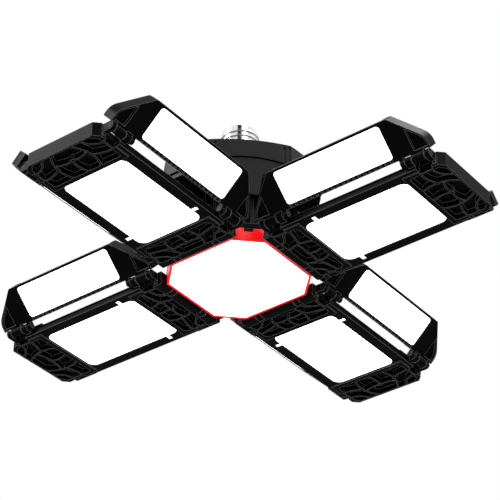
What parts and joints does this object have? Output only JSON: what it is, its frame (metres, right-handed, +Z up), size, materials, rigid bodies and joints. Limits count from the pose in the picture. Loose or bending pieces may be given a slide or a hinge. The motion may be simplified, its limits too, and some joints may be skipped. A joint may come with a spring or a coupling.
{
  "type": "deformable ceiling garage light",
  "caption": "Screw-in ceiling light with a red-rimmed centre panel, hinged main light panels folding down and narrow side panels tilting along their edges.",
  "frame": {"origin": "on the screw-base axis where the metal shell meets its collar", "axes": "+Z up along the screw base into the lamp holder; the four arms lie on the diagonals of X and Y"},
  "size_m": [0.287, 0.287, 0.1175],
  "materials": {
    "frame_black": "black powder coat, satin",
    "housing_black": "fine matt black",
    "red_ring": "glossy red",
    "opal_lens": "opal diffuser",
    "led_board": "white solder mask",
    "steel_pins": "black oxide",
    "nickel_shell": "bright nickel",
    "black_insulator": "black glass-like",
    "contact_metal": "soldered",
    "circuit_board": "green board",
    "driver_parts": "mixed components"
  },
  "bodies": {
    "hub": {"screw_shell": "nickel_shell", "base_insulator": "black_insulator", "centre_contact": "contact_metal", "base_collar": "housing_black", "driver_housing": "housing_black", "housing_skirt": "housing_black", "driver_board": "circuit_board", "driver_parts": "driver_parts", "neck_core": "frame_black", "centre_body": "frame_black", "centre_ring": "red_ring", "centre_lens": "opal_lens", "centre_board": "led_board", "fold_pins": "steel_pins"},
    "main_1": {"main_frame_1": "frame_black", "main_lens_1": "opal_lens", "main_board_1": "led_board", "tilt_pins_1": "steel_pins"},
    "wing_1a": {"wing_frame_1a": "frame_black", "wing_lens_1a": "opal_lens", "wing_board_1a": "led_board"},
    "wing_1b": {"wing_frame_1b": "frame_black", "wing_lens_1b": "opal_lens", "wing_board_1b": "led_board"},
    "main_2": {"main_frame_2": "frame_black", "main_lens_2": "opal_lens", "main_board_2": "led_board", "tilt_pins_2": "steel_pins"},
    "wing_2a": {"wing_frame_2a": "frame_black", "wing_lens_2a": "opal_lens", "wing_board_2a": "led_board"},
    "wing_2b": {"wing_frame_2b": "frame_black", "wing_lens_2b": "opal_lens", "wing_board_2b": "led_board"},
    "main_3": {"main_frame_3": "frame_black", "main_lens_3": "opal_lens", "main_board_3": "led_board", "tilt_pins_3": "steel_pins"},
    "wing_3a": {"wing_frame_3a": "frame_black", "wing_lens_3a": "opal_lens", "wing_board_3a": "led_board"},
    "wing_3b": {"wing_frame_3b": "frame_black", "wing_lens_3b": "opal_lens", "wing_board_3b": "led_board"},
    "main_4": {"main_frame_4": "frame_black", "main_lens_4": "opal_lens", "main_board_4": "led_board", "tilt_pins_4": "steel_pins"},
    "wing_4a": {"wing_frame_4a": "frame_black", "wing_lens_4a": "opal_lens", "wing_board_4a": "led_board"},
    "wing_4b": {"wing_frame_4b": "frame_black", "wing_lens_4b": "opal_lens", "wing_board_4b": "led_board"}
  },
  "joints": [
    {"name": "main_1_fold", "type": "hinge", "parent": "hub", "child": "main_1", "pos_m": [-0.02878, -0.02878, -0.08775], "axis": [0.7071, -0.7071, 0], "range_deg": [0, 80]},
    {"name": "wing_1a_tilt", "type": "hinge", "parent": "main_1", "child": "wing_1a", "pos_m": [-0.04893, -0.09511, -0.0837], "axis": [-0.7071, -0.7071, 0], "range_deg": [-33, 37]},
    {"name": "wing_1b_tilt", "type": "hinge", "parent": "main_1", "child": "wing_1b", "pos_m": [-0.09511, -0.04893, -0.0837], "axis": [0.7071, 0.7071, 0], "range_deg": [-33, 37]},
    {"name": "main_2_fold", "type": "hinge", "parent": "hub", "child": "main_2", "pos_m": [0.02878, -0.02878, -0.08775], "axis": [0.7071, 0.7071, 0], "range_deg": [0, 80]},
    {"name": "wing_2a_tilt", "type": "hinge", "parent": "main_2", "child": "wing_2a", "pos_m": [0.09511, -0.04893, -0.0837], "axis": [0.7071, -0.7071, 0], "range_deg": [-33, 37]},
    {"name": "wing_2b_tilt", "type": "hinge", "parent": "main_2", "child": "wing_2b", "pos_m": [0.04893, -0.09511, -0.0837], "axis": [-0.7071, 0.7071, 0], "range_deg": [-33, 37]},
    {"name": "main_3_fold", "type": "hinge", "parent": "hub", "child": "main_3", "pos_m": [0.02878, 0.02878, -0.08775], "axis": [-0.7071, 0.7071, 0], "range_deg": [0, 80]},
    {"name": "wing_3a_tilt", "type": "hinge", "parent": "main_3", "child": "wing_3a", "pos_m": [0.04893, 0.09511, -0.0837], "axis": [0.7071, 0.7071, 0], "range_deg": [-33, 37]},
    {"name": "wing_3b_tilt", "type": "hinge", "parent": "main_3", "child": "wing_3b", "pos_m": [0.09511, 0.04893, -0.0837], "axis": [-0.7071, -0.7071, 0], "range_deg": [-33, 37]},
    {"name": "main_4_fold", "type": "hinge", "parent": "hub", "child": "main_4", "pos_m": [-0.02878, 0.02878, -0.08775], "axis": [-0.7071, -0.7071, 0], "range_deg": [0, 80]},
    {"name": "wing_4a_tilt", "type": "hinge", "parent": "main_4", "child": "wing_4a", "pos_m": [-0.09511, 0.04893, -0.0837], "axis": [-0.7071, 0.7071, 0], "range_deg": [-33, 37]},
    {"name": "wing_4b_tilt", "type": "hinge", "parent": "main_4", "child": "wing_4b", "pos_m": [-0.04893, 0.09511, -0.0837], "axis": [0.7071, -0.7071, 0], "range_deg": [-33, 37]}
  ]
}
